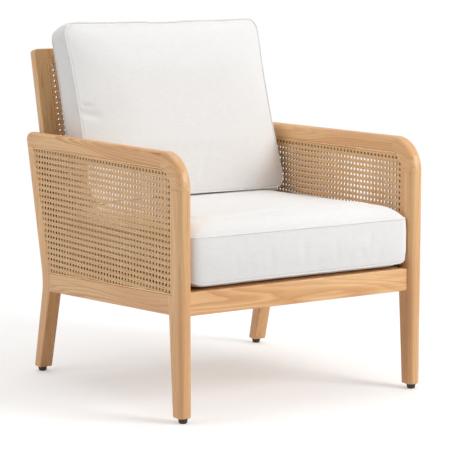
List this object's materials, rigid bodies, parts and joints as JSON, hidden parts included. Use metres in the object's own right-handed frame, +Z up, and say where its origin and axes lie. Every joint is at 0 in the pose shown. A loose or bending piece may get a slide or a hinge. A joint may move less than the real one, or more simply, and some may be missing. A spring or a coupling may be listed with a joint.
{
  "type": "lounge armchair with cane sides",
  "caption": "Low wooden lounge armchair with cane-webbed sides and back and loose seat and back cushions.",
  "frame": {"origin": "floor level, at the centre of the chair's width and depth", "axes": "+Z up, +X to the right seen from in front of the chair, +Y from the front to the back of the chair"},
  "size_m": [0.712, 0.7934, 0.9047],
  "materials": {
    "oak": "warm oiled oak, satin, with visible grain",
    "cane": "natural rattan cane webbing, satin",
    "spline": "split rattan reed, satin",
    "hidden_wood": "plain planed wood, matte",
    "screw_steel": "zinc-plated steel",
    "insert_brass": "plain machined brass",
    "glide": "dark brown, satin",
    "linen": "off-white woven linen, matte, slubbed"
  },
  "bodies": {
    "frame": {"left_front_leg": "oak", "right_front_leg": "oak", "left_arm_corner": "oak", "right_arm_corner": "oak", "left_arm_rail": "oak", "right_arm_rail": "oak", "left_side_rail": "oak", "right_side_rail": "oak", "left_rear_leg": "oak", "right_rear_leg": "oak", "left_outer_cane": "cane", "right_outer_cane": "cane", "left_inner_cane": "cane", "right_inner_cane": "cane", "left_outer_spline": "spline", "right_outer_spline": "spline", "left_inner_spline": "spline", "right_inner_spline": "spline", "left_seat_cleat": "hidden_wood", "right_seat_cleat": "hidden_wood", "left_front_corner_block": "hidden_wood", "right_front_corner_block": "hidden_wood", "left_rear_corner_block": "hidden_wood", "right_rear_corner_block": "hidden_wood", "left_front_glide": "glide", "right_front_glide": "glide", "left_rear_glide": "glide", "right_rear_glide": "glide", "back_left_stile": "oak", "back_right_stile": "oak", "back_top_rail": "oak", "back_bottom_rail": "oak", "front_rail": "oak", "rear_rail": "oak", "back_front_cane": "cane", "back_rear_cane": "cane", "back_front_spline": "spline", "back_rear_spline": "spline", "seat_slat_1": "hidden_wood", "seat_slat_2": "hidden_wood", "seat_slat_3": "hidden_wood", "seat_slat_4": "hidden_wood", "seat_slat_5": "hidden_wood", "seat_slat_6": "hidden_wood", "seat_slat_7": "hidden_wood", "slat_screws": "screw_steel", "cleat_screws": "screw_steel", "block_screws": "screw_steel", "back_dowels": "hidden_wood", "glide_inserts": "insert_brass"},
    "seat_cushion": {"seat_cushion": "linen"},
    "back_cushion": {"back_cushion": "linen"}
  },
  "joints": [
    {"name": "seat_cushion_lift", "type": "slide", "parent": "frame", "child": "seat_cushion", "axis": [0, 0, 1], "range_m": [0, 0.4]},
    {"name": "back_cushion_lift", "type": "slide", "parent": "seat_cushion", "child": "back_cushion", "axis": [0, 0, 1], "range_m": [0, 0.45]}
  ]
}
